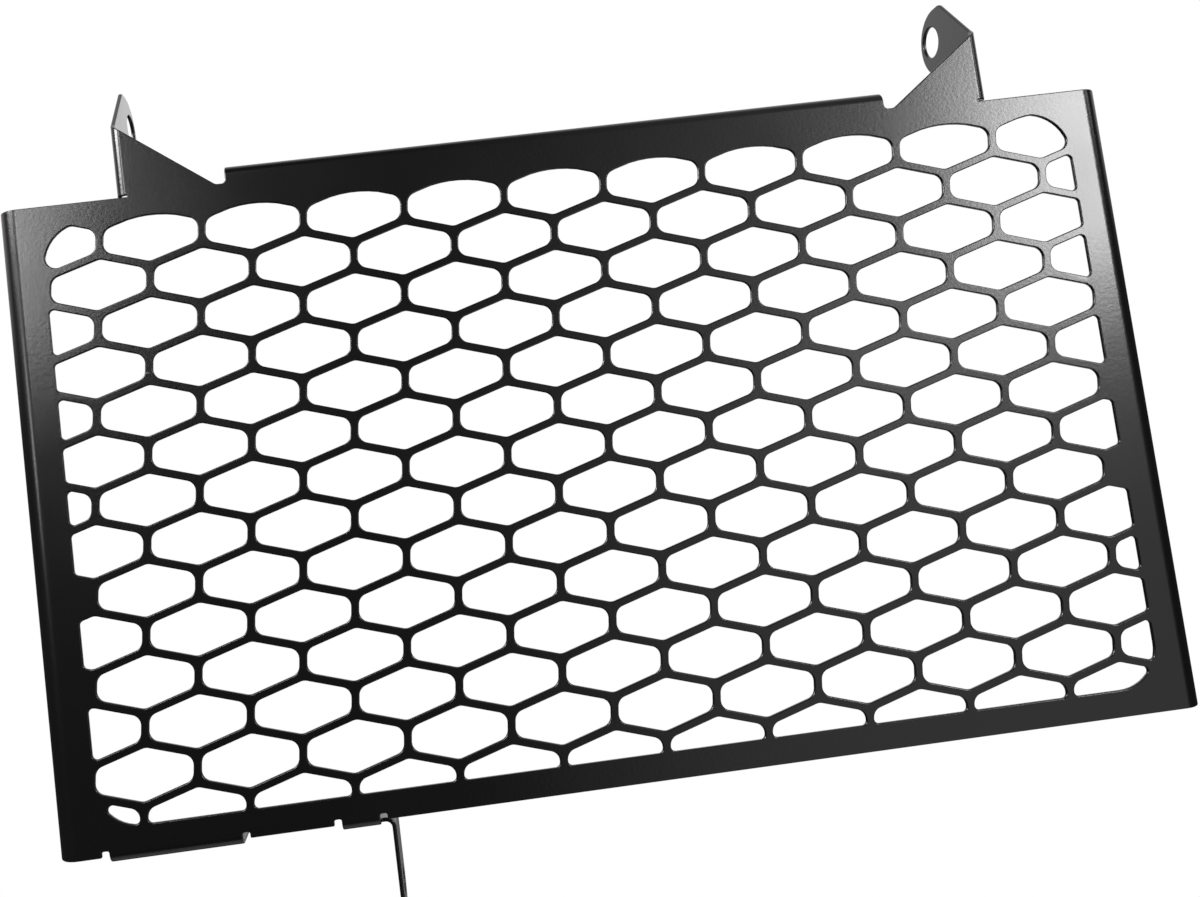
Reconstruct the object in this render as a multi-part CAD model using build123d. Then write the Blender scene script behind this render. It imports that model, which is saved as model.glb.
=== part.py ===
from build123d import *
import os
from math import asin, atan2, cos, hypot, radians, sin, tan

# A motorcycle radiator guard: one steel sheet, cut with its openings and folded back at its edges.
# X runs along the width, Y from the front towards the radiator, Z up. Lengths are in millimetres.
# The plate is drawn with its front face at y = 0 and its middle at x = 0, z = 0.
# At the end it moves, so that the part's origin is the middle of the axis of the two upper bolts.

# Sheet and folds
sheet = 1.0
side_fold_radius = 4.0
fold_radius = 1.5
free_corner_radius = 3.0

# Plate and the flanges along its edges
plate_width = 275.0
plate_height = 153.4
side_flange_depth = 14.0
top_flange_width = 164.0
top_flange_depth = 12.0
top_fold_rise = 2.6

# Perforation: slanted rows of stretched hexagons inside a window with round corners
side_border = 10.5
top_border = 5.0
bottom_border = 6.4
window_corner_radius = 10.0
column_pitch = 24.6
row_pitch = 10.5
strut_width = 1.9
strut_slope = 17.0
column_lean = 6.5
pattern_shift = -2.8
hexagon_corner_radius = 2.5
edge_corner_radius = 1.1
arch_radius = 26.7
arch_rise = 5.0
least_opening = 4.5

# Ears and upper lugs
lug_span = 217.0
notch_width = 2.4
notch_rise = 0.7
notch_radius = 1.0
ear_foot_radius = 1.5
ear_slope = 36.3
relief_radius = 0.2
lug_end_radius = 8.9
lug_end_rise = 22.0
lug_reach = 26.4
lug_top_width = 3.0
lug_tip_radius = 2.0
bolt_diameter = 8.0
bolt_depth = 21.0
bolt_rise = 23.0

# Lower edge: a flange and a tab, each between two relief slots
slot_width = 1.7
slot_rise = 1.4
bottom_fold_rise = 0.9
bottom_flange_depth = 12.0
bottom_flange_width = 30.8
bottom_flange_x = -109.95
tab_width = 9.0
tab_x = -67.05

# Lower lug: the tab is a shelf, and its right side is folded down
lower_lug_x = -59.2
lower_lug_start = 3.5
lower_bolt_drop = 18.5

# Derived sizes
fold_outside = fold_radius + sheet
side_fold_outside = side_fold_radius + sheet
plate_top = plate_height / 2
face_half_width = plate_width / 2 - side_fold_outside
lean = tan(radians(column_lean))
ear_side = lug_span / 2 - fold_outside
top_fold_z = plate_top + top_fold_rise
bottom_fold_z = bottom_fold_rise - plate_top
shelf_top = bottom_fold_z - fold_radius
bolt_z = plate_top + bolt_rise
lug_end_y = lug_reach - lug_end_radius
lug_end_z = plate_top + lug_end_rise


def corner(sketch, x, y):
    """The vertex of a flat sketch that is nearest to a point."""
    return sketch.vertices().sort_by_distance((x, y, 0))[0]


def fold(radius, start, length):
    """A quarter turn of the sheet. The plane's x leaves the flat sheet, its y is the way the fold goes."""
    outside = radius + sheet
    section = make_face(
        CenterArc((0, outside), outside, -90, 90)
        + Line((outside, outside), (radius, outside))
        + CenterArc((0, outside), radius, 0, -90)
        + Line((0, sheet), (0, 0))
    )
    return extrude(start * section, length)


def window(inset):
    """The outline that bounds the perforation, drawn in by an inset."""
    height = plate_height - top_border - bottom_border
    outline = RectangleRounded(
        plate_width - 2 * side_border - 2 * inset,
        height - 2 * inset,
        window_corner_radius - inset,
    )
    return Pos(0, (bottom_border - top_border) / 2) * outline


def hexagon():
    """One opening of the pattern about its own centre, drawn in by its corner radius."""
    half_width = column_pitch / 2
    rise = half_width * tan(radians(strut_slope))
    apex = (row_pitch + rise) / 2
    side = apex - rise
    upper = [(half_width + lean * side, side), (lean * apex, apex), (lean * side - half_width, side)]
    lower = [(-x, -z) for x, z in upper]
    cell = make_face(Polyline(*upper, *lower, close=True))
    return offset(cell, -strut_width / 2 - hexagon_corner_radius)


def openings():
    """The outlines of the perforation, row by row from the arched row at the top."""
    core_hexagon = hexagon()
    whole = offset(core_hexagon, hexagon_corner_radius).face().outer_wire()
    arch = Pos(lean * arch_rise, arch_rise - arch_radius) * Circle(arch_radius - hexagon_corner_radius)
    low, high = window(0).bounding_box().min, window(0).bounding_box().max
    reach = whole.bounding_box().size / 2
    clear = reach + Vector(window_corner_radius, window_corner_radius)
    wires = []
    row = 0
    z = plate_top - top_border - arch_rise
    while z + reach.Y > low.Y:
        if row == 0:
            corner_radius = hexagon_corner_radius
            core = core_hexagon & arch
        else:
            corner_radius = edge_corner_radius
            core = offset(core_hexagon, hexagon_corner_radius - edge_corner_radius)
        x = pattern_shift + row % 2 * column_pitch / 2 - row * row_pitch * lean
        x -= column_pitch * ((x - low.X + reach.X) // column_pitch)
        while x - reach.X < high.X:
            if low.X + clear.X < x < high.X - clear.X and low.Y + clear.Y < z < high.Y - clear.Y:
                wires.append(Pos(x, z) * whole)
            else:
                cut = window(corner_radius) & Pos(x, z) * core
                if cut and cut.bounding_box().size.X > least_opening - 2 * corner_radius:
                    wires.append(offset(cut.face(), corner_radius).face().outer_wire())
            x += column_pitch
        z -= row_pitch
        row += 1
    return wires


def crown():
    """The right half of the plate's raised top: the top flange's root, the notch and the ear."""
    notch_end = top_flange_width / 2
    notch_floor = plate_top + notch_rise
    foot = notch_end + notch_width
    outline = make_face(
        Polyline(
            (0, plate_top),
            (ear_side, plate_top),
            (ear_side, ear_peak()),
            (foot, notch_floor),
            (notch_end, notch_floor),
            (notch_end, top_fold_z),
            (0, top_fold_z),
            close=True,
        )
    )
    outline = fillet(corner(outline, foot, notch_floor), ear_foot_radius)
    outline = fillet(corner(outline, notch_end, notch_floor), notch_radius)
    return outline - Pos(ear_side, plate_top + relief_radius) * Circle(relief_radius)


def ear_peak():
    """The height at which the ear's slanted edge meets the lug's fold."""
    run = ear_side - top_flange_width / 2 - notch_width
    return plate_top + notch_rise + run * tan(radians(ear_slope))


def above_ramp(peak, rise):
    """The space over the fold's upper end, which climbs evenly round the fold and stays square to the sheet."""
    inner, outer = [Helix(4 * rise, 2 * rise, radius).edge() for radius in (fold_radius / 2, 2 * fold_outside)]
    ramp = Rot(0, 0, -135) * Face.make_surface_from_curves(inner, outer)
    return extrude(Pos(ear_side, fold_outside, peak - rise / 2) * ramp, 2 * rise, dir=(0, 0, 1))


def relief_slot(x):
    """A narrow slot with round upper corners, which frees the side of a fold in the lower edge."""
    shape = Rectangle(slot_width, 2 * slot_rise)
    upper = [corner(shape, side * slot_width / 2, slot_rise) for side in (-1, 1)]
    return Pos(x, -plate_top) * fillet(upper, slot_rise - bottom_fold_rise)


def plate():
    """The perforated front wall, flat between its folds."""
    half = crown()
    shape = Rectangle(2 * face_half_width, plate_height) + half + mirror(half, about=Plane.YZ)
    for x, width in ((bottom_flange_x, bottom_flange_width), (tab_x, tab_width)):
        shape -= Pos(x, bottom_fold_z) * Rectangle(width, 2 * bottom_fold_rise, align=(Align.CENTER, Align.MAX))
        for side in (-1, 1):
            shape -= relief_slot(x + side * (width + slot_width) / 2)
    face = Face(shape.face().outer_wire(), openings())
    return extrude(Plane.XZ * face, -sheet)


def side_flange():
    """The fold and flange along the plate's right side."""
    bend = fold(side_fold_radius, Plane((face_half_width, 0, -plate_top)), plate_height)
    length = side_flange_depth - side_fold_outside
    wall = Rectangle(length, plate_height, align=(Align.MIN, Align.CENTER))
    wall = fillet([corner(wall, length, end * plate_top) for end in (-1, 1)], free_corner_radius)
    frame = Plane((plate_width / 2, side_fold_outside, 0), x_dir=(0, 1, 0), z_dir=(1, 0, 0))
    return bend + extrude(frame * wall, -sheet)


def edge_flange(x, z, up, width, depth):
    """A fold and flange along the plate's top edge, or its lower edge where up is -1."""
    bend = fold(fold_radius, Plane((x + up * width / 2, 0, z), x_dir=(0, 0, up), z_dir=(-up, 0, 0)), width)
    length = depth - fold_outside
    wall = Rectangle(width, length, align=(Align.CENTER, Align.MIN))
    wall = fillet([corner(wall, side * width / 2, length) for side in (-1, 1)], free_corner_radius)
    return bend + extrude(Pos(x, fold_outside, z + up * fold_outside) * wall, -up * sheet)


def upper_lug():
    """The right upper lug: a fold along the ear's upright side, and a wall that carries the bolt hole."""
    foot = plate_top + 2 * relief_radius
    peak = ear_peak()
    rise = (fold_radius + sheet / 2) * radians(90) * tan(radians(ear_slope))
    bend = fold(fold_radius, Plane((ear_side, 0, foot)), peak + rise - foot) - above_ramp(peak, rise)
    top = lug_end_z + lug_end_radius
    tip = lug_end_y - lug_top_width
    across, up = lug_end_y - fold_outside, lug_end_z - foot
    distance = hypot(across, up)
    lower_slope = atan2(up, across) - asin(lug_end_radius / distance)
    lower_length = (distance**2 - lug_end_radius**2) ** 0.5
    tangent = (fold_outside + lower_length * cos(lower_slope), foot + lower_length * sin(lower_slope))
    wall = make_face(
        Polyline((lug_end_y, top), (tip, top), (fold_outside, peak + rise), (fold_outside, foot), tangent)
        + ThreePointArc(tangent, (lug_reach, lug_end_z), (lug_end_y, top))
    )
    wall = fillet(corner(wall, tip, top), lug_tip_radius)
    wall -= Pos(bolt_depth, bolt_z) * Circle(bolt_diameter / 2)
    return bend + extrude(Plane.YZ.offset(lug_span / 2) * wall, -sheet)


def lower_tab():
    """The tab's fold and shelf, and the lower lug that hangs from the shelf's right side."""
    left = tab_x - tab_width / 2
    right = tab_x + tab_width / 2
    lug_side = lower_lug_x - fold_outside
    lug_width = 2 * lug_end_radius
    lug_end = lower_lug_start + lug_width
    bend = fold(fold_radius, Plane((left, 0, bottom_fold_z), x_dir=(0, 0, -1), z_dir=(1, 0, 0)), tab_width)
    shelf = make_face(
        Polyline(
            (left, fold_outside),
            (right, fold_outside),
            (right, lower_lug_start),
            (lug_side, lower_lug_start),
            (lug_side, lug_end),
            (left, lug_end),
            close=True,
        )
    )
    shelf = fillet(corner(shelf, left, lug_end), free_corner_radius)
    shelf = extrude(Pos(0, 0, shelf_top) * shelf, -sheet)
    down = Plane((lug_side, lower_lug_start, shelf_top), x_dir=(1, 0, 0), z_dir=(0, 1, 0))
    lug_fold = fold(fold_radius, down, lug_width)
    centre = Pos(lower_lug_start + lug_end_radius, -plate_top - lower_bolt_drop)
    length = shelf_top - fold_outside + plate_top + lower_bolt_drop
    wall = Rectangle(lug_width, length, align=(Align.CENTER, Align.MIN)) + Circle(lug_end_radius)
    wall = centre * (wall - Circle(bolt_diameter / 2))
    return bend + shelf + lug_fold + extrude(Plane.YZ.offset(lower_lug_x) * wall, -sheet)


right_side = [side_flange(), upper_lug()]
left_side = [mirror(piece, about=Plane.YZ) for piece in right_side]
edges = [
    edge_flange(0, top_fold_z, 1, top_flange_width, top_flange_depth),
    edge_flange(bottom_flange_x, bottom_fold_z, -1, bottom_flange_width, bottom_flange_depth),
    lower_tab(),
]
guard = plate() + (right_side + left_side + edges)
guard = Pos(0, -bolt_depth, -bolt_z) * guard

os.makedirs("parts", exist_ok=True)
export_step(guard, "parts/guard_sheet.step")
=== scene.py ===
from math import pi, radians

import bpy
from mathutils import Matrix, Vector


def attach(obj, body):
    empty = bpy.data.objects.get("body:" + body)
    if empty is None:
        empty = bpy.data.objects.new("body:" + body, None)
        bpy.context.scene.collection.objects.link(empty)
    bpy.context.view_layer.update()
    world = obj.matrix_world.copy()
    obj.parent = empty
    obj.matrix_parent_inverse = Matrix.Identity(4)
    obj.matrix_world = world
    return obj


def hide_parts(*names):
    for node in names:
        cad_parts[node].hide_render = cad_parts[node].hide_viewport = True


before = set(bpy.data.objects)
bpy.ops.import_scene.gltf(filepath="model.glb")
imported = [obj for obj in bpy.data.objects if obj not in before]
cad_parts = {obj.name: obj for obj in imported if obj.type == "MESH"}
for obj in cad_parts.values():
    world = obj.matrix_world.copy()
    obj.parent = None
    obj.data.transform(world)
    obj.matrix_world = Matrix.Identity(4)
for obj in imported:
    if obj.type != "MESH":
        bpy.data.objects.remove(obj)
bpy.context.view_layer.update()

# Mesh of the sheet, in metres and degrees
merge_distance = 0.00001
flat_angle = 0.2
fold_angle = 35
edge_rounding = 0.0003
rounding_steps = 3
flat_wall_weight = 100

# Powder coat
coat_grey = 0.003
coat_roughness = (0.19, 0.27)
grain_scale = 1300.0
grain_detail = 2.0
grain_strength = 0.15
grain_height = 0.0001
cloud_scale = 40.0

# Room: its greys from the left (0) to the right (1), and how bright it is at eye level and above
room_greys = ((0.52, 0.03), (0.65, 0.62), (0.80, 0.62), (0.87, 0.03))
room_strength = (1.1, 0.6)
room_fade = (0.0, 0.35)

# White backdrop: how far back and how far up a direction points where it fades in
backdrop_behind = (-0.1, 0.3)
backdrop_above = (0.10, 0.25)

# Floor
floor_size = 1.2
floor_place = (0, 0, -1.30)
floor_grey = 0.85
floor_roughness = 0.9
floor_glow = 0.6

# Lamps: place, width, height and how bright their panel is (1 is white)
lamps = {
    "right_softbox": ((0.62, -0.74, 0.14), 0.144, 0.30, 26.0),
    "left_softbox": ((-0.44, -0.86, 0.31), 0.10, 0.50, 19.0),
    "left_high_panel": ((-0.80, -0.50, 0.37), 0.45, 0.25, 34.0),
    "left_low_strip": ((-0.84, -0.73, 0.00), 0.17, 0.17, 8.0),
    "right_strip": ((0.85, -0.43, 0.31), 0.11, 0.36, 5.0),
    "right_low_panel": ((0.48, -0.91, -0.04), 0.18, 0.16, 2.0),
    "back_panel": ((0.10, 0.92, 0.30), 0.50, 0.40, 0.8),
}
lamp_target = Vector((0.0, -0.02, -0.10))

# Camera, with its lens in millimetres and its turn in degrees
sensor_width = 36.0
focal_length = 33.04
view_shift = (0.1333, -0.0613)
nearest_view = 0.01
camera_place = (-0.04744, -0.28486, -0.09472)
camera_turn = (94.319, 7.069, -1.940)


def bare_copy(node):
    """A free copy of a CAD node with its loose triangles merged, ready to be finished."""
    bpy.ops.object.select_all(action="DESELECT")
    sheet = node.copy()
    sheet.data = node.data.copy()
    sheet.parent = None
    sheet.name = "coated_sheet"
    for key in list(sheet.keys()):
        del sheet[key]
    bpy.context.scene.collection.objects.link(sheet)
    bpy.context.view_layer.objects.active = sheet
    sheet.select_set(True)
    bpy.ops.object.mode_set(mode="EDIT")
    bpy.ops.mesh.select_all(action="SELECT")
    bpy.ops.mesh.remove_doubles(threshold=merge_distance)
    bpy.ops.mesh.dissolve_limited(angle_limit=radians(flat_angle))
    bpy.ops.object.mode_set(mode="OBJECT")
    return sheet


def round_edges():
    """The cut edges of the selected sheet, rounded as the coat rounds them."""
    bpy.ops.object.mode_set(mode="EDIT")
    bpy.ops.mesh.select_mode(type="EDGE")
    bpy.ops.mesh.select_all(action="DESELECT")
    bpy.ops.mesh.edges_select_sharp(sharpness=radians(fold_angle))
    bpy.ops.mesh.bevel(
        offset=edge_rounding,
        segments=rounding_steps,
        affect="EDGES",
        clamp_overlap=False,
        loop_slide=False,
    )
    bpy.ops.object.mode_set(mode="OBJECT")


def smooth_walls(sheet):
    """Smooth shading in which the large flat walls stay flat."""
    bpy.ops.object.shade_smooth()
    flats = sheet.modifiers.new("flat_walls", "WEIGHTED_NORMAL")
    flats.weight = flat_wall_weight
    bpy.ops.object.modifier_apply(modifier=flats.name)


def grey(level):
    """A neutral colour."""
    return (level, level, level, 1.0)


def carry_over(tree, value, source=(0.0, 1.0), result=(0.0, 1.0)):
    """A value carried over from one range to another, as a node's output."""
    node = tree.nodes.new("ShaderNodeMapRange")
    limits = {"From Min": source[0], "From Max": source[1], "To Min": result[0], "To Max": result[1]}
    for socket, limit in limits.items():
        node.inputs[socket].default_value = limit
    tree.links.new(value, node.inputs["Value"])
    return node.outputs["Result"]


def combine(tree, operation, first, second):
    """Two values made one, as a node's output."""
    node = tree.nodes.new("ShaderNodeMath")
    node.operation = operation
    tree.links.new(first, node.inputs[0])
    tree.links.new(second, node.inputs[1])
    return node.outputs["Value"]


def orange_peel():
    """The fine grain of a powder coat, as a height and a change of gloss."""
    group = bpy.data.node_groups.new("orange_peel", "ShaderNodeTree")
    group.interface.new_socket("Grain size", in_out="INPUT", socket_type="NodeSocketFloat")
    group.interface.new_socket("Height", in_out="OUTPUT", socket_type="NodeSocketFloat")
    group.interface.new_socket("Gloss", in_out="OUTPUT", socket_type="NodeSocketFloat")
    nodes, links = group.nodes, group.links
    source = nodes.new("NodeGroupInput")
    result = nodes.new("NodeGroupOutput")
    place = nodes.new("ShaderNodeTexCoord")
    grain = nodes.new("ShaderNodeTexNoise")
    grain.inputs["Detail"].default_value = grain_detail
    clouds = nodes.new("ShaderNodeTexNoise")
    clouds.inputs["Scale"].default_value = cloud_scale
    links.new(place.outputs["Object"], grain.inputs["Vector"])
    links.new(place.outputs["Object"], clouds.inputs["Vector"])
    links.new(source.outputs["Grain size"], grain.inputs["Scale"])
    links.new(grain.outputs["Fac"], result.inputs["Height"])
    links.new(clouds.outputs["Fac"], result.inputs["Gloss"])
    return group


def satin_powder_coat():
    """Black powder coat: a satin skin with a fine grain."""
    coat = bpy.data.materials.new("satin_black_powder_coat")
    coat.use_nodes = True
    tree = coat.node_tree
    skin = tree.nodes["Principled BSDF"]
    skin.inputs["Base Color"].default_value = grey(coat_grey)
    peel = tree.nodes.new("ShaderNodeGroup")
    peel.node_tree = orange_peel()
    peel.inputs["Grain size"].default_value = grain_scale
    roughness = carry_over(tree, peel.outputs["Gloss"], result=coat_roughness)
    tree.links.new(roughness, skin.inputs["Roughness"])
    bump = tree.nodes.new("ShaderNodeBump")
    bump.inputs["Strength"].default_value = grain_strength
    bump.inputs["Distance"].default_value = grain_height
    tree.links.new(peel.outputs["Height"], bump.inputs["Height"])
    tree.links.new(bump.outputs["Normal"], skin.inputs["Normal"])
    return coat


def room_wall(tree):
    """The grey of the room, which changes from left to right."""
    wall = tree.nodes.new("ShaderNodeValToRGB")
    wall.color_ramp.interpolation = "EASE"
    shades = wall.color_ramp.elements
    while len(shades) < len(room_greys):
        shades.new(1.0)
    for shade, (position, level) in zip(shades, room_greys):
        shade.position = position
        shade.color = grey(level)
    return wall


def white_surroundings():
    """White all round for the camera, and a white backdrop behind the guard that its gloss shows too."""
    world = bpy.data.worlds.new("studio")
    bpy.context.scene.world = world
    world.use_nodes = True
    tree = world.node_tree
    nodes, links = tree.nodes, tree.links
    direction = nodes.new("ShaderNodeTexCoord")
    axes = nodes.new("ShaderNodeSeparateXYZ")
    links.new(direction.outputs["Generated"], axes.inputs["Vector"])

    room = nodes["Background"]
    wall = room_wall(tree)
    links.new(carry_over(tree, axes.outputs["X"], source=(-1.0, 1.0)), wall.inputs["Fac"])
    links.new(wall.outputs["Color"], room.inputs["Color"])
    links.new(carry_over(tree, axes.outputs["Z"], room_fade, room_strength), room.inputs["Strength"])

    rays = nodes.new("ShaderNodeLightPath")
    behind = carry_over(tree, axes.outputs["Y"], source=backdrop_behind)
    above = carry_over(tree, axes.outputs["Z"], source=backdrop_above)
    upper = combine(tree, "MULTIPLY", behind, above)
    backdrop = combine(tree, "MULTIPLY", upper, rays.outputs["Is Glossy Ray"])
    seen = combine(tree, "MAXIMUM", rays.outputs["Is Camera Ray"], rays.outputs["Is Transmission Ray"])
    white = nodes.new("ShaderNodeBackground")
    white.inputs["Color"].default_value = grey(1.0)
    mix = nodes.new("ShaderNodeMixShader")
    links.new(combine(tree, "MAXIMUM", seen, backdrop), mix.inputs["Fac"])
    links.new(room.outputs["Background"], mix.inputs[1])
    links.new(white.outputs["Background"], mix.inputs[2])
    links.new(mix.outputs["Shader"], nodes["World Output"].inputs["Surface"])


def pale_floor():
    """A plain floor below the guard, which hangs from its bolts."""
    bpy.ops.object.select_all(action="DESELECT")
    bpy.ops.mesh.primitive_plane_add(size=floor_size, location=floor_place)
    floor = bpy.context.object
    floor.name = "floor"
    paint = bpy.data.materials.new("pale_floor")
    paint.use_nodes = True
    tree = paint.node_tree
    skin = tree.nodes["Principled BSDF"]
    skin.inputs["Base Color"].default_value = grey(floor_grey)
    skin.inputs["Roughness"].default_value = floor_roughness
    rays = tree.nodes.new("ShaderNodeLightPath")
    glow = carry_over(tree, rays.outputs["Is Camera Ray"], result=(0.0, floor_glow))
    tree.links.new(glow, skin.inputs["Emission Strength"])
    floor.data.materials.append(paint)


def softbox(name, place, width, height, brightness):
    """A rectangular panel of soft light that faces the guard."""
    light = bpy.data.lights.new(name, "AREA")
    light.shape = "RECTANGLE"
    light.size = width
    light.size_y = height
    light.energy = brightness * pi * width * height
    lamp = bpy.data.objects.new(name, light)
    bpy.context.scene.collection.objects.link(lamp)
    lamp.location = place
    lamp.rotation_euler = (lamp_target - Vector(place)).to_track_quat("-Z", "Y").to_euler()
    lamp.visible_camera = False


def photo_camera():
    """The camera, where the photograph was taken from."""
    lens = bpy.data.cameras.new("camera")
    lens.sensor_width = sensor_width
    lens.lens = focal_length
    lens.shift_x, lens.shift_y = view_shift
    lens.clip_start = nearest_view
    camera = bpy.data.objects.new("camera", lens)
    camera.location = camera_place
    camera.rotation_euler = [radians(angle) for angle in camera_turn]
    bpy.context.scene.collection.objects.link(camera)
    bpy.context.scene.camera = camera


sheet = bare_copy(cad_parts["guard_sheet"])
round_edges()
smooth_walls(sheet)
sheet.data.materials.clear()
sheet.data.materials.append(satin_powder_coat())
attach(sheet, "root")
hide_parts("guard_sheet")

white_surroundings()
pale_floor()
for name, panel in lamps.items():
    softbox(name, *panel)
photo_camera()
bpy.context.scene.view_settings.view_transform = "Standard"
